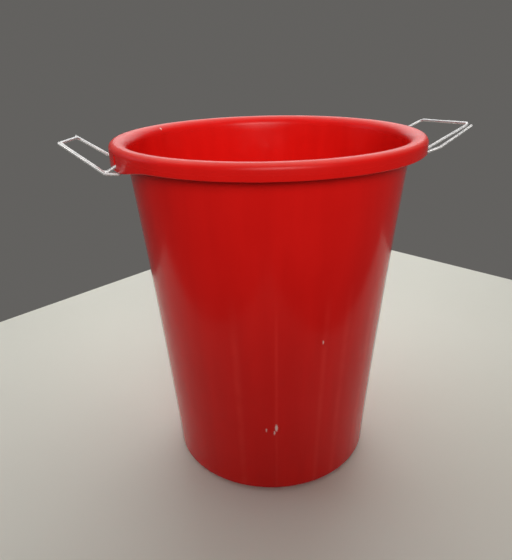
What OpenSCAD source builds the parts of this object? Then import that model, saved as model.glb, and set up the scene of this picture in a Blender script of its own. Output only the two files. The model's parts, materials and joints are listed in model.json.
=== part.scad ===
// Tall tapered wash bucket: one moulded plastic body with a down-turned rim, and a bent
// wire bail on each side that swings in two slots in the rim's skirt.
// Origin: centre of the base on the ground, +Z up, handles on the X axis, front is -Y.

/* [Bucket] */
// Overall height, ground to the top of the rim
bucket_h = 392; // [382:1:400]
// Outside radius of the rim
rim_r = 170; // [169:1:174]
// Outside radius of the wall at the ground
base_r = 120; // [116:0.5:123]
// Outside radius of the wall level with the skirt's lower edge
wall_top_r = 153; // [150:0.5:153.5]
// How far the wall bows inwards, half way between the ground and the skirt's lower edge
wall_bow = 1.7; // [0.5:0.1:3]
// Wall thickness
wall_t = 2.4; // [2:0.1:3]
// Floor thickness
floor_t = 2.8; // [2.4:0.1:3.5]
// Height of the foot ring that the bucket stands on
foot_h = 2.5; // [2:0.5:4]
// Width of the foot ring's flat
foot_w = 5; // [4:0.5:8]
// Radius of the bottom outside edge
base_round = 9; // [8:0.5:10]
// Radius of the mould's gate spot under the floor
gate_r = 6; // [4:0.5:9]

/* [Rim] */
// Rounding from the inside of the wall onto the top of the rim
lip_in_round = 11; // [9:0.5:11]
// Rounding from the top of the rim onto the skirt
lip_out_round = 6; // [5:0.5:6]
// Thickness of the skirt
skirt_t = 2.2; // [2:0.1:2.4]
// Depth of the skirt below the top of the rim
skirt_depth = 15.6; // [14:0.2:17]
// Depth of the skirt where it carries the handles
apron_depth = 22.4; // [22:0.2:24]
// Angle each side of a handle's middle that the full depth covers
apron_angle = 19; // [18:0.5:22]
// Angle beyond that over which the edge slopes back up
apron_run = 18; // [4:0.5:20]

/* [Handle slots] */
// Width of each slot
slot_w = 5; // [4.6:0.1:6]
// Depth of the slot's upper end below the top of the rim
slot_top = 6; // [6:0.1:8]
// Height of the strip of skirt left under each slot
strip_h = 2.6; // [2.4:0.1:3]

/* [Handles] */
// Diameter of the wire
wire_d = 3; // [2.8:0.1:3.1]
// Gap between an arm and the tail beside it
strand_gap = 0.2; // [0.2:0.1:0.6]
// Distance of the wire's centreline from the hinge line, all round the eye
eye_r = 3.6; // [3.5:0.1:4]
// Centreline radius of the two bends that make each eye
eye_bend = 2.8; // [2.4:0.1:3]
// Distance of each slot from the handle's middle
eye_half = 45; // [42:0.5:48]
// Centreline radius of the bends at the neck
neck_bend = 6; // [5:0.5:6]
// Centreline radius of the grip's two corners
corner_bend = 6; // [5:0.5:9]

/* [Left handle, at rest] */
// Distance of the front neck out from the hinge line
left_front_neck_out = 11.5; // [10:0.5:13]
// Height of the front neck above the hinge line
left_front_neck_up = -2.4; // [-3:0.1:0]
// Distance of the back neck out from the hinge line
left_back_neck_out = 9.5; // [9:0.5:12]
// Height of the back neck above the hinge line
left_back_neck_up = 0; // [-2:0.1:1]
// Distance of the grip's front corner out from the hinge line
left_front_reach = 49.5; // [40:0.5:56]
// Height of the grip's front corner above the hinge line
left_front_rise = 28.5; // [20:0.5:32]
// Distance of the grip's back corner out from the hinge line
left_back_reach = 41; // [38:0.5:56]
// Height of the grip's back corner above the hinge line
left_back_rise = 21.5; // [18:0.5:32]
// Distance of the grip's corners from the middle
left_half = 42; // [38:0.5:46]
// How far the front tail runs past the corner
left_front_tail = 1.5; // [-20:0.5:4]
// How far the back tail runs past the corner
left_back_tail = 2.5; // [-20:0.5:4]
// How much lower than the arms the tails end
left_tail_drop = 0; // [0:0.1:3]

/* [Right handle, at rest] */
// Distance of both necks out from the hinge line
right_neck_out = 6.5; // [6:0.5:9]
// Height of the front neck above the hinge line
right_front_neck_up = 2.2; // [1.5:0.1:3]
// Height of the back neck above the hinge line
right_back_neck_up = 2.8; // [1.5:0.1:3]
// Distance of the tails' necks out from the hinge line
right_tail_neck_out = 20.5; // [16:0.5:22]
// Height of the tails' necks above the hinge line
right_tail_neck_up = 2.9; // [1.5:0.1:3.5]
// Distance of the grip's front corner out from the hinge line
right_front_reach = 55.5; // [42:0.5:57]
// Height of the grip's front corner above the hinge line
right_front_rise = 26; // [20:0.5:30]
// Distance of the grip's back corner out from the hinge line
right_back_reach = 45.5; // [42:0.5:57]
// Height of the grip's back corner above the hinge line
right_back_rise = 20.5; // [18:0.5:30]
// Distance of the grip's corners from the middle
right_half = 43.5; // [40:0.5:47]
// How far the front tail runs past the corner
right_front_tail = 1; // [-20:0.5:4]
// How far the back tail runs past the corner
right_back_tail = -14; // [-20:0.5:4]
// How much lower than the arms the tails end
right_tail_drop = 2.4; // [0:0.1:3]

/* [Hidden] */
$fn = 96;
red = "firebrick";
zinc = "silver";
// wall: its height, and how far it leans out from upright at the ground and at the rim
wall_h = bucket_h - skirt_depth;
low_angle = atan((wall_top_r - base_r - 4 * wall_bow) / wall_h);
high_angle = atan((wall_top_r - base_r + 4 * wall_bow) / wall_h);
wall_steps = 8;
// rim: centre of the inner rounding, where its arc leaves the wall's inner face
lip_start_z = bucket_h - lip_in_round * (1 - sin(high_angle));
lip_in_c = [wall_r(lip_start_z) - wall_t + lip_in_round * cos(high_angle), bucket_h - lip_in_round];
lip_out_c = [rim_r - lip_out_round, bucket_h - lip_out_round];
skirt_edge = 0.6;
arc_steps = 10;
// floor
floor_top = foot_h + floor_t;
inner_round = base_round - 1;
foot_r = base_r - base_round;
foot_slope = 1;
gate_depth = 0.6;
// hinge line of a handle: it runs along the strips under the two slots
strip_mid_r = rim_r - skirt_t / 2;
hinge_x = sqrt(strip_mid_r * strip_mid_r - eye_half * eye_half);
hinge_z = bucket_h - apron_depth + strip_h / 2;
slot_angle = asin(eye_half / strip_mid_r);
// deep part of the skirt, seen along X: half widths at its lower edge and at the top of its slopes
apron_low_half = rim_r * sin(apron_angle);
apron_high_half = rim_r * sin(apron_angle + apron_run);
apron_overlap = 4;
wire_r = wire_d / 2;
strand = wire_d + strand_gap;
// straight lengths of wire are a hair thinner than the bends and reach a little way into them
seat_step = 0.03;
seat_len = 0.25;

// ---- outlines ----

function reversed(list) = [for (i = [len(list) - 1:-1:0]) list[i]];

// outside radius of the wall at height z: a cone, bowed inwards
function wall_r(z) =
    let (t = z / wall_h)
    base_r + (wall_top_r - base_r) * t - 4 * wall_bow * t * (1 - t);

// points up the wall between its two ends, set in from the outside by depth
function wall_points(depth) =
    [for (i = [1:wall_steps - 1]) let (z = wall_h * i / wall_steps) [wall_r(z) - depth, z]];

// points on an arc about c, from angle a to angle b
function arc(c, r, a, b) =
    [for (i = [0:arc_steps]) let (t = a + (b - a) * i / arc_steps) c + r * [cos(t), sin(t)]];

// half section of the body: radius, height
function body_outline() = concat(
    [[0, foot_h], [foot_r - foot_w - foot_slope, foot_h], [foot_r - foot_w, 0]],
    arc([foot_r + base_round * tan(low_angle), base_round], base_round, -90, -low_angle),
    wall_points(0),
    arc(lip_in_c, lip_in_round - wall_t, 180 - high_angle, 90),
    arc(lip_out_c, lip_out_round - skirt_t, 90, 0),
    [[rim_r - skirt_t, bucket_h - skirt_depth + skirt_edge]],
    arc([rim_r - skirt_t + skirt_edge, bucket_h - skirt_depth + skirt_edge], skirt_edge, 180, 270),
    arc([rim_r - skirt_edge, bucket_h - skirt_depth + skirt_edge], skirt_edge, 270, 360),
    arc(lip_out_c, lip_out_round, 0, 90),
    arc(lip_in_c, lip_in_round, 90, 180 - high_angle),
    reversed(wall_points(wall_t)),
    arc([wall_r(floor_top) - wall_t - inner_round, floor_top + inner_round],
        inner_round, -low_angle, -90),
    [[0, floor_top]]
);

// ---- bent wire ----

function unit(v) = v / norm(v);

// distance from a corner to where its bend starts
function setback(p, i, bends) =
    let (u = unit(p[i] - p[i - 1]), v = unit(p[i + 1] - p[i]))
    bends[i] * tan(acos(u * v) / 2);

// straight length of wire from a to b
module straight(a, b) {
    z = unit(b - a);
    x = unit(abs(z.y) < 0.9 ? cross([0, 1, 0], z) : cross([0, 0, 1], z));
    y = cross(z, x);
    multmatrix([[x.x, y.x, z.x, a.x], [x.y, y.y, z.y, a.y], [x.z, y.z, z.z, a.z]])
        cylinder(r = wire_r - seat_step, h = norm(b - a));
}

// bend of centreline radius r at corner b, between the lines a-b and b-c
module bend(a, b, c, r) {
    u = unit(b - a);
    v = unit(c - b);
    turn = acos(u * v);
    z = unit(cross(u, v));
    x = cross(u, z);
    start = b - u * r * tan(turn / 2);
    o = start - x * r;
    multmatrix([[x.x, u.x, z.x, o.x], [x.y, u.y, z.y, o.y], [x.z, u.z, z.z, o.z]])
        rotate_extrude(angle = turn)
            translate([r, 0])
                circle(r = wire_r, $fn = 48);
}

// one wire through the points p, with a bend radius for each point
module bent_wire(p, bends) {
    last = len(p) - 1;
    for (i = [0:last - 1]) {
        d = unit(p[i + 1] - p[i]);
        from = i == 0 ? p[0] : p[i] + d * (setback(p, i, bends) - seat_len);
        to = i == last - 1 ? p[last] : p[i + 1] - d * (setback(p, i + 1, bends) - seat_len);
        straight(from, to);
    }
    for (i = [1:last - 1])
        bend(p[i - 1], p[i], p[i + 1], bends[i]);
}

// ---- handle ----

// Height, behind the skirt, of the straight from the neck that just misses a circle of radius
// eye_r about the hinge line: over it where side is -1, and under it where side is 1.
function eye_height(neck, side) =
    let (toward = atan2(neck.y, neck.x) + 180 + side * asin(eye_r / norm(neck)))
    neck.y - (neck.x + eye_r) * tan(toward);

// One side of a handle as points [out, y, up] about the middle of the hinge line: from the tip
// of the tail, under the skirt, up behind it, out through the slot, and along the arm to the
// grip's corner. Necks and corner are [out, up].
function side_points(arm_neck, tail_neck, corner, grip_half, tail_over, tail_drop) =
    let (
        tip = corner + tail_over * unit(corner - arm_neck) - [0, tail_drop],
        lean = (grip_half - eye_half) / corner.x
    )
    [
        [tip.x, eye_half + lean * tip.x + strand, tip.y],
        [tail_neck.x, eye_half + lean * tail_neck.x + strand, tail_neck.y],
        [-eye_r, eye_half, eye_height(tail_neck, 1)],
        [-eye_r, eye_half, eye_height(arm_neck, -1)],
        [arm_neck.x, eye_half + lean * arm_neck.x, arm_neck.y],
        [corner.x, grip_half, corner.y]
    ];

function to_front(points) = [for (p = points) [p.x, -p.y, p.z]];

// handle on the +X side
module wire_handle(front, back) {
    side_bends = [0, neck_bend, eye_bend, eye_bend, neck_bend, corner_bend];
    translate([hinge_x, 0, hinge_z])
        bent_wire(concat(to_front(front), reversed(back)), concat(side_bends, reversed(side_bends)));
}

// ---- body details ----

// the deeper stretch of skirt on both handle sides
module aprons() {
    low = bucket_h - apron_depth;
    edge = bucket_h - skirt_depth;
    high = edge + apron_overlap;
    intersection() {
        translate([0, 0, low])
            difference() {
                cylinder(r = rim_r, h = high - low);
                translate([0, 0, -1])
                    cylinder(r = rim_r - skirt_t, h = high - low + 2);
            }
        rotate([90, 0, 90])
            linear_extrude(height = 2 * rim_r + 2, center = true)
                polygon([
                    [-apron_low_half, low - 1], [apron_low_half, low - 1], [apron_low_half, low],
                    [apron_high_half, edge], [apron_high_half, high + 1],
                    [-apron_high_half, high + 1], [-apron_high_half, edge], [-apron_low_half, low]
                ]);
    }
}

// cutter for one upright round-ended slot through the skirt
module slot(angle) {
    low = bucket_h - apron_depth + strip_h + slot_w / 2;
    high = bucket_h - slot_top - slot_w / 2;
    cut_from = rim_r - 3 * skirt_t;
    cut_len = 4 * skirt_t;
    rotate([0, 0, angle])
        translate([cut_from, 0, 0]) {
            for (z = [low, high])
                translate([0, 0, z])
                    rotate([0, 90, 0])
                        cylinder(d = slot_w, h = cut_len);
            translate([0, -slot_w / 2, low])
                cube([cut_len, slot_w, high - low]);
        }
}

// ---- nodes ----

module bucket_body() {
    color(red)
        difference() {
            union() {
                rotate_extrude($fn = 192)
                    polygon(body_outline());
                aprons();
            }
            for (side = [0, 180], a = [-slot_angle, slot_angle])
                slot(side + a);
            translate([0, 0, foot_h - 1])
                cylinder(r = gate_r, h = 1 + gate_depth);
        }
}

module left_handle() {
    front_neck = [left_front_neck_out, left_front_neck_up];
    back_neck = [left_back_neck_out, left_back_neck_up];
    front = [left_front_reach, left_front_rise];
    back = [left_back_reach, left_back_rise];
    color(zinc)
        mirror([1, 0, 0])
            wire_handle(
                side_points(front_neck, front_neck, front, left_half, left_front_tail, left_tail_drop),
                side_points(back_neck, back_neck, back, left_half, left_back_tail, left_tail_drop)
            );
}

module right_handle() {
    front_neck = [right_neck_out, right_front_neck_up];
    back_neck = [right_neck_out, right_back_neck_up];
    tail_neck = [right_tail_neck_out, right_tail_neck_up];
    front = [right_front_reach, right_front_rise];
    back = [right_back_reach, right_back_rise];
    color(zinc)
        wire_handle(
            side_points(front_neck, tail_neck, front, right_half, right_front_tail, right_tail_drop),
            side_points(back_neck, tail_neck, back, right_half, right_back_tail, right_tail_drop)
        );
}

bucket_body();
left_handle();
right_handle();
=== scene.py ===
"""Looks of the wash bucket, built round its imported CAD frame. Metres, +Z up, front is -Y."""

import json
import math

import bmesh
import bpy
from mathutils import Matrix, Vector, noise


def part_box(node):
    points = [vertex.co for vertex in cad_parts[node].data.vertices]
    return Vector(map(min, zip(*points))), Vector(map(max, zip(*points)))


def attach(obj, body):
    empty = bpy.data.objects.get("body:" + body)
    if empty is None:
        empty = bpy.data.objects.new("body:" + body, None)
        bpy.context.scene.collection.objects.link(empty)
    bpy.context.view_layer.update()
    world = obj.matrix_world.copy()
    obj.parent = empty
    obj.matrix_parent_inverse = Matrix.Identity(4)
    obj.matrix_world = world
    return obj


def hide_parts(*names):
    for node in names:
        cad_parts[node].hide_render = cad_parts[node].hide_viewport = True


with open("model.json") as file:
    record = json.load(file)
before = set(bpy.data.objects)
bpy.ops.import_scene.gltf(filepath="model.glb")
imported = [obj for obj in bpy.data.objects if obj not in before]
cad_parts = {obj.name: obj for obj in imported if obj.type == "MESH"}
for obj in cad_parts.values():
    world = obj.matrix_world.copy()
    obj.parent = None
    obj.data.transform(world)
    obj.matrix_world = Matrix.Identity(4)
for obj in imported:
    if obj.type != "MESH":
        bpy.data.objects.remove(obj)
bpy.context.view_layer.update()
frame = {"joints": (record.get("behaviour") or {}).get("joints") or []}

# ---------------------------------------------------------------- sizes
MM = 0.001
BODY_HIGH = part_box("bucket_body")[1]
RIM_R = min(BODY_HIGH.x, BODY_HIGH.y)
HEIGHT = BODY_HIGH.z

BASE_R = 120 * MM
WALL_TOP_R = 153 * MM
WALL_BOW = 1.7 * MM
WALL_T = 2.4 * MM
FLOOR_T = 2.8 * MM
FOOT_H = 2.5 * MM
FOOT_W = 5 * MM
BASE_ROUND = 9 * MM
GATE_R = 6 * MM
GATE_DEPTH = 0.6 * MM
NUB_R = 1.3 * MM
LIP_IN_ROUND = 11 * MM
LIP_OUT_ROUND = 6 * MM
SKIRT_T = 2.2 * MM
SKIRT_DEPTH = 15.6 * MM
SKIRT_EDGE = 0.6 * MM
APRON_DEPTH = 22.4 * MM
APRON_ANGLE = math.radians(19)
APRON_RUN = math.radians(18)
SLOT_W = 5 * MM
SLOT_TOP = 6 * MM
STRIP_H = 2.6 * MM
EYE_HALF = 45 * MM

WALL_H = HEIGHT - SKIRT_DEPTH
LOW_ANGLE = math.atan((WALL_TOP_R - BASE_R - 4 * WALL_BOW) / WALL_H)
HIGH_ANGLE = math.atan((WALL_TOP_R - BASE_R + 4 * WALL_BOW) / WALL_H)
FLOOR_TOP = FOOT_H + FLOOR_T
STRIP_R = RIM_R - SKIRT_T / 2
SLOT_ANGLE = math.asin(EYE_HALF / STRIP_R)

# columns of the revolved mesh, and the angles in degrees above which an edge stays crisp
COLUMNS = 384
ALL_SMOOTH = 180
BUCKET_CREASE = 50
WIRE_CREASE = 60

# how far the moulded wall strays from a true cone, and the calm stretch at its ends
WAVER = 0.20 * MM
CALM = 30 * MM


def wall_r(z):
    """Outside radius of the wall at height z: a cone, bowed inwards."""
    t = z / WALL_H
    return BASE_R + (WALL_TOP_R - BASE_R) * t - 4 * WALL_BOW * t * (1 - t)


def smooth(x):
    """0 below 0, 1 above 1, and an easy slope between."""
    x = min(max(x, 0.0), 1.0)
    return x * x * (3 - 2 * x)


# ---------------------------------------------------------------- bucket
def arc(cx, cz, r, start, end, steps):
    """Points (radius, height) along an arc; angles in degrees."""
    out = []
    for i in range(steps + 1):
        t = math.radians(start + (end - start) * i / steps)
        out.append((cx + r * math.cos(t), cz + r * math.sin(t)))
    return out


def wall(low, high, depth, steps):
    """Points up the wall between two heights, without the ends, set in from the outside by depth."""
    heights = [low + (high - low) * i / steps for i in range(1, steps)]
    return [(wall_r(z) - depth, z) for z in heights]


def line(a, b, steps):
    """Points between a and b, without the ends."""
    return [(a[0] + (b[0] - a[0]) * i / steps, a[1] + (b[1] - a[1]) * i / steps) for i in range(1, steps)]


def apron(turn):
    """How much of the extra skirt depth there is at this angle round the rim: 1 about the handles, sloping
    away to 0 on both sides of them."""
    off = abs((turn + math.pi / 2) % math.pi - math.pi / 2)
    low = math.sin(APRON_ANGLE)
    high = math.sin(APRON_ANGLE + APRON_RUN)
    share = min(max((high - math.sin(off)) / (high - low), 0.0), 1.0)
    return (share + smooth(share)) / 2


def section(turn):
    """Half section of the bucket at an angle round it: (radius, height, part) from the underside's centre
    out, up the wall, round the rim and down the inside."""
    low = math.degrees(LOW_ANGLE)
    high = math.degrees(HIGH_ANGLE)
    depth = SKIRT_DEPTH + (APRON_DEPTH - SKIRT_DEPTH) * apron(turn)
    edge_z = HEIGHT - depth + SKIRT_EDGE
    lip_z = HEIGHT - LIP_IN_ROUND
    start_z = HEIGHT - LIP_IN_ROUND * (1 - math.sin(HIGH_ANGLE))
    lip_x = wall_r(start_z) - WALL_T + LIP_IN_ROUND * math.cos(HIGH_ANGLE)
    out_x = RIM_R - LIP_OUT_ROUND
    out_z = HEIGHT - LIP_OUT_ROUND
    foot_r = BASE_R - BASE_ROUND
    ring_r = foot_r - FOOT_W
    under = [(GATE_R * 1.5, FOOT_H), (ring_r - 1.6 * MM, FOOT_H)]
    dimple_z = FOOT_H + GATE_DEPTH
    nub = [(NUB_R * 0.8, FOOT_H + GATE_DEPTH * 0.3), (NUB_R, dimple_z)]
    dimple = [(GATE_R * 0.9, dimple_z), (GATE_R * 0.97, FOOT_H + GATE_DEPTH * 0.8), (GATE_R, FOOT_H)]
    foot = [(ring_r - 1.2 * MM, FOOT_H - 0.1 * MM), (ring_r - 0.3 * MM, 0.3 * MM), (ring_r, 0.0)]
    fillet = arc(foot_r + BASE_ROUND * math.tan(LOW_ANGLE), BASE_ROUND, BASE_ROUND, -90, -low, 10)
    neck = arc(lip_x, lip_z, LIP_IN_ROUND - WALL_T, 180 - high, 90, 12)
    hood = arc(out_x, out_z, LIP_OUT_ROUND - SKIRT_T, 90, 0, 8)
    inner_edge = arc(RIM_R - SKIRT_T + SKIRT_EDGE, edge_z, SKIRT_EDGE, 180, 270, 4)
    outer_edge = arc(RIM_R - SKIRT_EDGE, edge_z, SKIRT_EDGE, 270, 360, 4)
    crown = arc(out_x, out_z, LIP_OUT_ROUND, 0, 90, 12)
    lip = arc(lip_x, lip_z, LIP_IN_ROUND, 90, 180 - high, 18)
    bowl_r = BASE_ROUND - 1 * MM
    bowl = arc(wall_r(FLOOR_TOP) - WALL_T - bowl_r, FLOOR_TOP + bowl_r, bowl_r, -low, -90, 6)
    floor = [(GATE_R * 1.5, FLOOR_TOP)]
    parts = [
        ("under", nub + dimple + under[:1] + line(under[0], under[1], 12) + under[1:] + foot),
        ("foot", fillet),
        ("wall", wall(fillet[-1][1], neck[0][1], 0, 72)),
        ("rim", neck + line(neck[-1], hood[0], 2) + hood + line(hood[-1], inner_edge[0], 6)),
        ("rim", inner_edge + outer_edge + line(outer_edge[-1], crown[0], 6) + crown),
        ("rim", line(crown[-1], lip[0], 3) + lip),
        ("inside", wall(lip[-1][1], bowl[0][1], WALL_T, 72)),
        ("floor", bowl + line(bowl[-1], floor[0], 12) + floor),
    ]
    return [(r, z, part) for part, points in parts for r, z in points]


def waver(turn, z, part):
    """How far the moulded wall stands in from a true cone: it is slightly out of round, with faint
    upright flats left by cooling."""
    if part not in ("wall", "inside"):
        return 0.0
    fade = smooth(z / CALM) * smooth((HEIGHT - SKIRT_DEPTH - z) / CALM)
    flats = noise.noise(Vector((math.cos(turn) * 3.1, math.sin(turn) * 3.1, z * 1.6)))
    dents = noise.noise(Vector((math.cos(turn) * 1.3, math.sin(turn) * 1.3, z * 5.0 + 7)))
    return -fade * (WAVER + WAVER * flats + WAVER * dents)


def new_object(name, mesh):
    obj = bpy.data.objects.new(name, mesh)
    bpy.context.scene.collection.objects.link(obj)
    return obj


def mesh_from(name, verts, faces):
    mesh = bpy.data.meshes.new(name)
    mesh.from_pydata(verts, [], faces)
    mesh.update()
    return mesh


def shade(mesh, sharp_above):
    """Smooth shading, with edges sharper than sharp_above degrees kept crisp."""
    bm = bmesh.new()
    bm.from_mesh(mesh)
    bmesh.ops.recalc_face_normals(bm, faces=bm.faces)
    for face in bm.faces:
        face.smooth = True
    for edge in bm.edges:
        edge.smooth = edge.calc_face_angle(0) < math.radians(sharp_above)
    bm.to_mesh(mesh)
    bm.free()


def bucket_mesh():
    """The whole moulding as one closed skin of revolved sections."""
    verts = []
    for i in range(COLUMNS):
        turn = 2 * math.pi * i / COLUMNS
        for r, z, part in section(turn):
            r += waver(turn, z, part)
            verts.append((r * math.cos(turn), r * math.sin(turn), z))
    rows = len(verts) // COLUMNS
    faces = []
    for i in range(COLUMNS):
        a = i * rows
        b = ((i + 1) % COLUMNS) * rows
        for j in range(rows - 1):
            faces.append((a + j, b + j, b + j + 1, a + j + 1))
    for row, z in ((0, FOOT_H + GATE_DEPTH * 0.3), (rows - 1, FLOOR_TOP)):
        centre = len(verts)
        verts.append((0, 0, z))
        for i in range(COLUMNS):
            a = i * rows + row
            b = ((i + 1) % COLUMNS) * rows + row
            faces.append((a, centre, b) if row == 0 else (b, centre, a))
    return mesh_from("bucket_shell", verts, faces)


def slot_outline(grow):
    """Upright round-ended outline of a slot, as (sideways, height) pairs, grown outwards by grow."""
    r = SLOT_W / 2
    low = HEIGHT - APRON_DEPTH + STRIP_H + r
    high = HEIGHT - SLOT_TOP - r
    steps = 10
    out = []
    for i in range(steps + 1):
        t = math.pi * i / steps
        out.append(((r + grow) * math.cos(t), high + (r + grow) * math.sin(t)))
    for i in range(steps + 1):
        t = math.pi + math.pi * i / steps
        out.append(((r + grow) * math.cos(t), low + (r + grow) * math.sin(t)))
    return out


def slot_cutter(turn):
    """Cutter for one slot, which leaves its edges rounded on both sides of the skirt."""
    edge = 0.45 * MM
    over = 0.5 * MM
    steps = 4
    inner, outer = RIM_R - SKIRT_T, RIM_R
    levels = [(inner - over, edge)]
    for i in range(steps + 1):
        t = math.radians(90 * i / steps)
        levels.append((inner + edge * (1 - math.cos(t)), edge * (1 - math.sin(t))))
    for i in range(steps + 1):
        t = math.radians(90 * i / steps)
        levels.append((outer - edge * (1 - math.sin(t)), edge * (1 - math.cos(t))))
    levels.append((outer + over, edge))
    verts, faces = [], []
    for r, grow in levels:
        for side, z in slot_outline(grow):
            a = turn + side / RIM_R
            verts.append((r * math.cos(a), r * math.sin(a), z))
    count = len(verts) // len(levels)
    for k in range(len(levels) - 1):
        for i in range(count):
            j = (i + 1) % count
            faces.append((k * count + i, k * count + j, (k + 1) * count + j, (k + 1) * count + i))
    faces.append(tuple(range(count)))
    faces.append(tuple(reversed(range(len(verts) - count, len(verts)))))
    return verts, faces


def cut_slots(shell):
    """Cuts the four handle slots through the skirt."""
    verts, faces = [], []
    for side in (0, math.pi):
        for turn in (-SLOT_ANGLE, SLOT_ANGLE):
            new_verts, new_faces = slot_cutter(side + turn)
            faces += [tuple(v + len(verts) for v in f) for f in new_faces]
            verts += new_verts
    cutter_mesh = mesh_from("slot_cutter", verts, faces)
    shade(cutter_mesh, ALL_SMOOTH)
    cutter = new_object("slot_cutter", cutter_mesh)
    cut = shell.modifiers.new("slots", "BOOLEAN")
    cut.operation = "DIFFERENCE"
    cut.solver = "EXACT"
    cut.object = cutter
    graph = bpy.context.evaluated_depsgraph_get()
    mesh = bpy.data.meshes.new_from_object(shell.evaluated_get(graph))
    shell.modifiers.remove(cut)
    shell.data = mesh
    bpy.data.objects.remove(cutter)


def make_bucket():
    """The bucket's shell, slots cut, with soft shading."""
    shell = new_object("bucket_shell", bucket_mesh())
    shade(shell.data, ALL_SMOOTH)
    cut_slots(shell)
    shell.data.name = "bucket_shell"
    shade(shell.data, BUCKET_CREASE)
    return shell


# ---------------------------------------------------------------- wire handles
WIRE_R = 1.5 * MM
STRAND = 2 * WIRE_R + 0.2 * MM
EYE_R = 3.6 * MM
EYE_BEND = 2.8 * MM
NECK_BEND = 6 * MM
CORNER_BEND = 6 * MM
WIRE_STEP = 1.5 * MM
WIRE_SIDES = 24
# how far hand bending moves the wire: in towards the bucket, along the grip and down
HAND_IN = 0.45 * MM
HAND_ALONG = 0.30 * MM
HAND_DOWN = 0.25 * MM
# the handles, in mm: half the grip's length and how far the tails' tips drop below the arms, then for each
# side the necks of the arm and the tail and the grip corner, as (out from the hinge line, up from it), and
# how far the tail runs past the corner
LEFT_SHAPE = {
    "half": 42,
    "drop": 0,
    "front": {"neck": (11.5, -2.4), "tail_neck": (11.5, -2.4), "corner": (49.5, 28.5), "over": 1.5},
    "back": {"neck": (9.5, 0), "tail_neck": (9.5, 0), "corner": (41, 21.5), "over": 2.5},
}
RIGHT_SHAPE = {
    "half": 43.5,
    "drop": 2.4,
    "front": {"neck": (6.5, 2.2), "tail_neck": (20.5, 2.9), "corner": (55.5, 26), "over": 1},
    "back": {"neck": (6.5, 2.8), "tail_neck": (20.5, 2.9), "corner": (45.5, 20.5), "over": -14},
}


def eye_height(neck, side):
    """Height, behind the skirt, of the straight from the neck that just clears the eye's circle: over it
    where side is -1, under it where side is 1."""
    toward = math.atan2(neck.y, neck.x) + math.pi + side * math.asin(EYE_R / neck.length)
    return neck.y - (neck.x + EYE_R) * math.tan(toward)


def side_path(shape, side, way):
    """One side of a handle about the middle of the hinge line, (out, y, up): tail tip, eye, arm, grip corner.
    way is -1 for the front side and 1 for the back."""
    neck = Vector(shape[side]["neck"]) * MM
    tail_neck = Vector(shape[side]["tail_neck"]) * MM
    corner = Vector(shape[side]["corner"]) * MM
    half = shape["half"] * MM
    tip = corner + shape[side]["over"] * MM * (corner - neck).normalized() - Vector((0, shape["drop"] * MM))
    lean = (half - EYE_HALF) / corner.x
    stops = [
        (tip.x, EYE_HALF + lean * tip.x + STRAND, tip.y),
        (tail_neck.x, EYE_HALF + lean * tail_neck.x + STRAND, tail_neck.y),
        (-EYE_R, EYE_HALF, eye_height(tail_neck, 1)),
        (-EYE_R, EYE_HALF, eye_height(neck, -1)),
        (neck.x, EYE_HALF + lean * neck.x, neck.y),
        (corner.x, half, corner.y),
    ]
    return [Vector((out, way * y, up)) for out, y, up in stops]


def straight(a, b, step):
    """Points from a to b, without a, about a step apart."""
    count = max(1, round((b - a).length / step))
    return [a.lerp(b, k / count) for k in range(1, count + 1)]


def rounded(points, bends, step):
    """Centreline through the points with each corner rounded to its bend radius."""
    out = [points[0]]
    for i in range(1, len(points) - 1):
        u = (points[i] - points[i - 1]).normalized()
        v = (points[i + 1] - points[i]).normalized()
        turn = u.angle(v)
        axis = u.cross(v).normalized()
        start = points[i] - u * bends[i] * math.tan(turn / 2)
        centre = start + axis.cross(u) * bends[i]
        steps = max(3, math.ceil(turn / math.radians(9)))
        out += straight(out[-1], start, step)
        for k in range(1, steps + 1):
            out.append(centre + Matrix.Rotation(turn * k / steps, 3, axis) @ (start - centre))
    return out + straight(out[-1], points[-1], step)


def hand_bent(path, seed):
    """The path with the slight waviness of wire bent by hand, which fades out at the eyes and the tips."""
    out = []
    for p in path:
        fade = smooth((p.x - 10 * MM) / (12 * MM)) * smooth((path[0] - p).length / (15 * MM))
        sideways = noise.noise(Vector((p.x * 45, p.y * 30, seed)))
        inwards = 0.5 + 0.5 * noise.noise(Vector((p.x * 30, p.y * 40, seed + 5)))
        out.append(p + fade * Vector((-HAND_IN * inwards, HAND_ALONG * sideways, -HAND_DOWN * inwards)))
    return out


def tube(name, path, radius, sides):
    """Round wire along a path, with lightly rounded cut ends."""
    edge = radius * 0.3
    tangents = []
    for i in range(len(path)):
        a = path[max(i - 1, 0)]
        b = path[min(i + 1, len(path) - 1)]
        tangents.append((b - a).normalized())
    tip = ((0.0, radius - edge), (edge * 0.3, radius - edge * 0.3), (edge, radius))
    stations = [(path[0] + tangents[0] * back, r, tangents[0]) for back, r in tip]
    stations += [(path[i], radius, tangents[i]) for i in range(1, len(path) - 1)]
    stations += [(path[-1] - tangents[-1] * back, r, tangents[-1]) for back, r in tip[::-1]]
    verts, faces = [], []
    previous = tangents[0]
    normal = previous.orthogonal().normalized()
    for centre, r, tangent in stations:
        normal = previous.rotation_difference(tangent) @ normal
        normal = (normal - tangent * normal.dot(tangent)).normalized()
        previous = tangent
        side = tangent.cross(normal)
        for k in range(sides):
            t = 2 * math.pi * k / sides
            verts.append(centre + r * (math.cos(t) * normal + math.sin(t) * side))
    for i in range(len(stations) - 1):
        for k in range(sides):
            n = (k + 1) % sides
            faces.append((i * sides + k, i * sides + n, (i + 1) * sides + n, (i + 1) * sides + k))
    faces.append(tuple(reversed(range(sides))))
    faces.append(tuple(range(len(verts) - sides, len(verts))))
    mesh = mesh_from(name, [tuple(v) for v in verts], faces)
    shade(mesh, WIRE_CREASE)
    return new_object(name, mesh)


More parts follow.
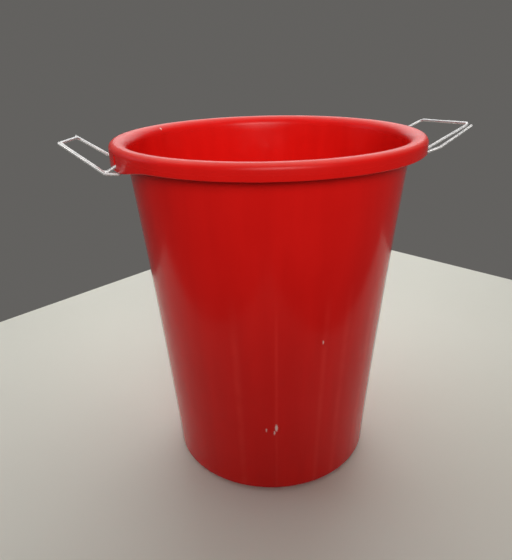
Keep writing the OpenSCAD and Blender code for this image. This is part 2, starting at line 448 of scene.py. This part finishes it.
def make_handle(name, shape, hinge, outward):
    """One bent wire; outward is +1 for the handle on the +X side and -1 for the other."""
    points = side_path(shape, "front", -1) + side_path(shape, "back", 1)[::-1]
    bends = [0, NECK_BEND, EYE_BEND, EYE_BEND, NECK_BEND, CORNER_BEND]
    path = hand_bent(rounded(points, bends + bends[::-1], WIRE_STEP), 3 + outward)
    path = [Vector((hinge.x + outward * p.x, p.y, hinge.z + p.z)) for p in path]
    return tube(name, path, WIRE_R, WIRE_SIDES)


# ---------------------------------------------------------------- materials
class Nodes:
    """Short way to build a node material."""

    def __init__(self, name):
        self.material = bpy.data.materials.new(name)
        self.material.use_nodes = True
        self.tree = self.material.node_tree
        self.shader = self.tree.nodes["Principled BSDF"]

    def add(self, kind, inputs=None, **settings):
        node = self.tree.nodes.new("ShaderNode" + kind)
        for key, value in settings.items():
            setattr(node, key, value)
        for key, value in (inputs or {}).items():
            self.set(node.inputs[key], value)
        return node

    def set(self, socket, value):
        if isinstance(value, bpy.types.NodeSocket):
            self.tree.links.new(value, socket)
        elif isinstance(value, bpy.types.Node):
            self.tree.links.new(value.outputs[0], socket)
        else:
            socket.default_value = value

    def math(self, operation, a, b=0.0):
        return self.add("Math", {0: a, 1: b}, operation=operation).outputs[0]

    def ramp(self, value, low, high, out_low=0.0, out_high=1.0):
        """value from low..high to out_low..out_high, clamped, with an easy slope."""
        inputs = {0: value, 1: low, 2: high, 3: out_low, 4: out_high}
        return self.add("MapRange", inputs, interpolation_type="SMOOTHSTEP").outputs[0]

    def noise(self, vector, scale, detail=3.0, roughness=0.5):
        inputs = {"Vector": vector, "Scale": scale, "Detail": detail, "Roughness": roughness}
        return self.add("TexNoise", inputs).outputs[0]

    def mix(self, factor, a, b):
        return self.add("Mix", {0: factor, 6: a, 7: b}, data_type="RGBA").outputs[2]

    def bump(self, height, strength, distance, normal=None):
        node = self.add("Bump", {"Strength": strength, "Distance": distance, "Height": height})
        if normal is not None:
            self.set(node.inputs["Normal"], normal)
        return node.outputs[0]


# colours of the plastic: its two close reds, pale bands of painted reflection, the worn foot, a painted
# highlight along the rim's top and the chips
RED_DEEP = (0.70, 0.0070, 0.0050, 1)
RED_BRIGHT = (0.77, 0.0090, 0.0065, 1)
PAINTED_REFLECTION_PALE = (0.90, 0.045, 0.036, 1)
FOOT_WORN = (0.42, 0.06, 0.05, 1)
RIM_PAINTED_HIGHLIGHT = (0.82, 0.11, 0.09, 1)
CHIP_PALE = (0.90, 0.74, 0.70, 1)
# the wire's bright and dull zinc, and the table top's two close tones
ZINC_BRIGHT = (0.74, 0.74, 0.74, 1)
ZINC_DULL = (0.62, 0.63, 0.64, 1)
FLOOR_LOW = (0.74, 0.745, 0.67, 1)
FLOOR_HIGH = (0.79, 0.795, 0.72, 1)
# small chips in the plastic: angle round the bucket in degrees, height, size
CHIPS = (
    (-101, 95 * MM, 5.0 * MM),
    (-102, 88 * MM, 3.6 * MM),
    (-106, 92 * MM, 3.4 * MM),
    (-80, 200 * MM, 3.4 * MM),
    (-33, 345 * MM, 3.6 * MM),
    (135, 388 * MM, 4.2 * MM),
    (38, 150 * MM, 3.0 * MM),
    (121, 262 * MM, 3.0 * MM),
    (167, 74 * MM, 3.4 * MM),
)
# faint upright bands of painted reflection: angle round the bucket in degrees, half width in radians
PAINTED_REFLECTION_BANDS = (
    (-119, 0.05),
    (-101, 0.022),
    (-79, 0.04),
    (-68, 0.05),
    (-50, 0.06),
    (25, 0.04),
    (96, 0.025),
    (150, 0.05),
)


def red_plastic():
    """Glossy moulded polypropylene: faint upright bands of painted reflection, soft mottling, fine scratches,
    a few chips, a painted highlight along the rim's top and a scuffed foot."""
    n = Nodes("red_plastic")
    place = n.add("TexCoord").outputs["Object"]
    x, y, z = n.add("SeparateXYZ", {0: place}).outputs
    turn = n.math("ARCTAN2", y, x)
    c = n.math("COSINE", turn)
    s = n.math("SINE", turn)
    ring = n.add("CombineXYZ", {0: c, 1: s, 2: n.math("MULTIPLY", z, 0.9)}).outputs[0]
    streaks = n.noise(ring, 6.0, 3.0, 0.5)
    cloud = n.noise(place, 7.0, 3.0)
    peel = n.noise(place, 900.0, 2.0)
    blotches = n.noise(place, 28.0, 5.0, 0.6)
    tone = n.math("ADD", n.math("MULTIPLY", streaks, 0.5), n.math("MULTIPLY", cloud, 0.5))
    colour = n.mix(n.ramp(tone, 0.35, 0.65), RED_DEEP, RED_BRIGHT)
    low_half = n.ramp(z, 0.27, 0.20)
    # painted reflection: pale upright bands on the lower wall
    for angle, half_width in PAINTED_REFLECTION_BANDS:
        off = n.math("ABSOLUTE", n.math("SUBTRACT", turn, math.radians(angle)))
        line_here = n.math("MULTIPLY", n.ramp(off, half_width, 0.0), n.math("MULTIPLY", low_half, 0.32))
        patchy = n.math("MULTIPLY", line_here, n.ramp(blotches, 0.3, 0.6, 0.4, 1.0))
        colour = n.mix(patchy, colour, PAINTED_REFLECTION_PALE)
    worn = n.ramp(z, 0.007, 0.001)
    patchy = n.math("MULTIPLY", worn, n.ramp(blotches, 0.45, 0.7, 0.0, 0.5))
    colour = n.mix(patchy, colour, FOOT_WORN)
    # painted highlight: a paler, patchy band along the rim's top
    rim_highlight = n.ramp(z, HEIGHT - 4 * MM, HEIGHT - 0.5 * MM)
    patchy = n.math("MULTIPLY", rim_highlight, n.ramp(blotches, 0.3, 0.65, 0.3, 0.5))
    colour = n.mix(patchy, colour, RIM_PAINTED_HIGHLIGHT)
    ragged = n.math("MULTIPLY", n.noise(place, 900.0, 3.0), 3.0 * MM)
    for angle, height, size in CHIPS:
        a = math.radians(angle)
        spot = (wall_r(height) * math.cos(a), wall_r(height) * math.sin(a), height)
        offset = n.add("VectorMath", {0: place, 1: spot}, operation="SUBTRACT").outputs[0]
        flat = n.add("VectorMath", {0: offset, 1: (1.6, 1.6, 0.55)}, operation="MULTIPLY").outputs[0]
        away = n.add("VectorMath", {0: flat}, operation="LENGTH").outputs["Value"]
        chipped = n.ramp(n.math("ADD", away, ragged), size, size * 0.6)
        colour = n.mix(n.math("MULTIPLY", chipped, 0.8), colour, CHIP_PALE)
    n.set(n.shader.inputs["Base Color"], colour)
    stretch = {"Vector": place, "Scale": (1, 1, 0.12), "Rotation": (0.5, 0.3, 0)}
    scratches = n.ramp(n.noise(n.add("Mapping", stretch).outputs[0], 420.0, 2.0), 0.66, 0.72)
    rough = n.ramp(blotches, 0.35, 0.7, 0.13, 0.19)
    rough = n.math("ADD", rough, n.ramp(z, HEIGHT - SKIRT_DEPTH - 4 * MM, HEIGHT - 4 * MM, 0.0, 0.20))
    rough = n.math("ADD", rough, n.math("MULTIPLY", scratches, 0.05))
    rough = n.math("ADD", rough, n.math("MULTIPLY", worn, 0.25))
    n.set(n.shader.inputs["Roughness"], rough)
    n.shader.inputs["IOR"].default_value = 1.49
    n.shader.inputs["Specular IOR Level"].default_value = 0.2
    fine = n.bump(peel, 0.06, 0.0002)
    n.set(n.shader.inputs["Normal"], n.bump(streaks, 0.06, 0.002, fine))
    return n.material


def zinc_wire():
    """Bright zinc-plated wire with soft drawing marks and a few dull patches."""
    n = Nodes("zinc_wire")
    place = n.add("TexCoord").outputs["Object"]
    patches = n.noise(place, 60.0, 3.0, 0.6)
    grain = n.noise(place, 500.0, 2.0)
    colour = n.mix(n.ramp(patches, 0.35, 0.65), ZINC_BRIGHT, ZINC_DULL)
    n.set(n.shader.inputs["Base Color"], colour)
    n.shader.inputs["Metallic"].default_value = 0.7
    n.set(n.shader.inputs["Roughness"], n.ramp(patches, 0.35, 0.7, 0.42, 0.52))
    n.set(n.shader.inputs["Normal"], n.bump(grain, 0.03, 0.0001))
    return n.material


def pale_floor():
    """Plain pale table top with the faintest mottling."""
    n = Nodes("pale_floor")
    place = n.add("TexCoord").outputs["Object"]
    cloud = n.noise(place, 3.0, 4.0)
    n.set(n.shader.inputs["Base Color"], n.mix(cloud, FLOOR_LOW, FLOOR_HIGH))
    n.shader.inputs["Roughness"].default_value = 0.55
    n.shader.inputs["Specular IOR Level"].default_value = 0.3
    return n.material


# ---------------------------------------------------------------- stage
def aim(obj, place, target):
    obj.location = place
    obj.rotation_mode = "QUATERNION"
    obj.rotation_quaternion = (Vector(target) - Vector(place)).to_track_quat("-Z", "Y")


def area_light(name, place, target, size, power, colour):
    light = bpy.data.lights.new(name, "AREA")
    light.shape = "RECTANGLE"
    light.size, light.size_y = size
    light.energy = power
    light.color = colour
    obj = bpy.data.objects.new(name, light)
    bpy.context.scene.collection.objects.link(obj)
    aim(obj, place, target)
    return obj


def make_floor():
    """A plain table top, set cornerwise to the view."""
    corner = Vector((0.26, 0.90, 0))
    along = Vector((-0.83, -0.56, 0)).normalized()
    across = Vector((-along.y, along.x, 0))
    long_side = 1.15
    short_side = 1.0
    stops = [corner, corner + along * long_side, corner + along * long_side + across * short_side,
             corner + across * short_side]
    mesh = mesh_from("floor", [tuple(p) for p in stops], [(0, 1, 2, 3)])
    floor = new_object("floor", mesh)
    floor.data.materials.append(pale_floor())


def make_lights():
    """Soft studio light: a wide panel above, one behind, and small ones from the left and the front."""
    world = bpy.data.worlds.new("studio")
    world.use_nodes = True
    sky = world.node_tree.nodes["Background"]
    sky.inputs[0].default_value = (0.62, 0.60, 0.57, 1)
    sky.inputs[1].default_value = 0.20
    bpy.context.scene.world = world
    warm = (1, 0.98, 0.95)
    area_light("ceiling", (0.1, 0.7, 1.9), (0, 0.4, 0), (3.2, 2.2), 26, warm)
    area_light("back", (0.8, 2.4, 1.55), (0, 0, HEIGHT), (2.6, 1.6), 24, (0.98, 0.99, 1))
    area_light("left", (-1.8, 0.8, 1.0), (-0.2, 0.2, 0), (1.0, 0.9), 3.0, (0.7, 0.8, 1))
    front = area_light("front", (-0.1, -1.05, 0.86), (0, 0.02, HEIGHT * 1.25), (0.9, 0.5), 1.45, warm)
    front.data.spread = math.radians(50)


# Viewpoint: its turn round the bucket, distance from the axis and height, then where it looks
VIEW_TURN = math.radians(-13.6)
VIEW_BACK = 3.62 * RIM_R
VIEW_HEIGHT = 2.82 * RIM_R
VIEW_PAN = math.radians(12.1)
VIEW_PITCH = math.radians(-23.05)
VIEW_ROLL = math.radians(-1.37)
LENS = 35.26


def make_camera():
    """Camera at the photo's viewpoint."""
    data = bpy.data.cameras.new("camera")
    data.lens = LENS
    data.sensor_width = 36
    data.clip_start = 0.02
    cam = bpy.data.objects.new("camera", data)
    bpy.context.scene.collection.objects.link(cam)
    cam.location = (VIEW_BACK * math.sin(VIEW_TURN), -VIEW_BACK * math.cos(VIEW_TURN), VIEW_HEIGHT)
    look = Matrix.Rotation(-VIEW_PAN, 4, "Z") @ Matrix.Rotation(math.pi / 2 + VIEW_PITCH, 4, "X")
    cam.rotation_euler = (look @ Matrix.Rotation(VIEW_ROLL, 4, "Z")).to_euler()
    bpy.context.scene.camera = cam


# ---------------------------------------------------------------- the object
def hinge_of(joint_name):
    return Vector(next(j for j in frame["joints"] if j["name"] == joint_name)["pos_m"])


bucket = make_bucket()
bucket.data.materials.append(red_plastic())
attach(bucket, "bucket")
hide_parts("bucket_body")

wire_material = zinc_wire()
for side, shape, outward in (("left", LEFT_SHAPE, -1), ("right", RIGHT_SHAPE, 1)):
    wire = make_handle(side + "_wire", shape, hinge_of(side + "_bail_swing"), outward)
    wire.data.materials.append(wire_material)
    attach(wire, side + "_bail")
    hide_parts(side + "_handle")

make_floor()
make_lights()
make_camera()
bpy.context.scene.view_settings.view_transform = "Standard"
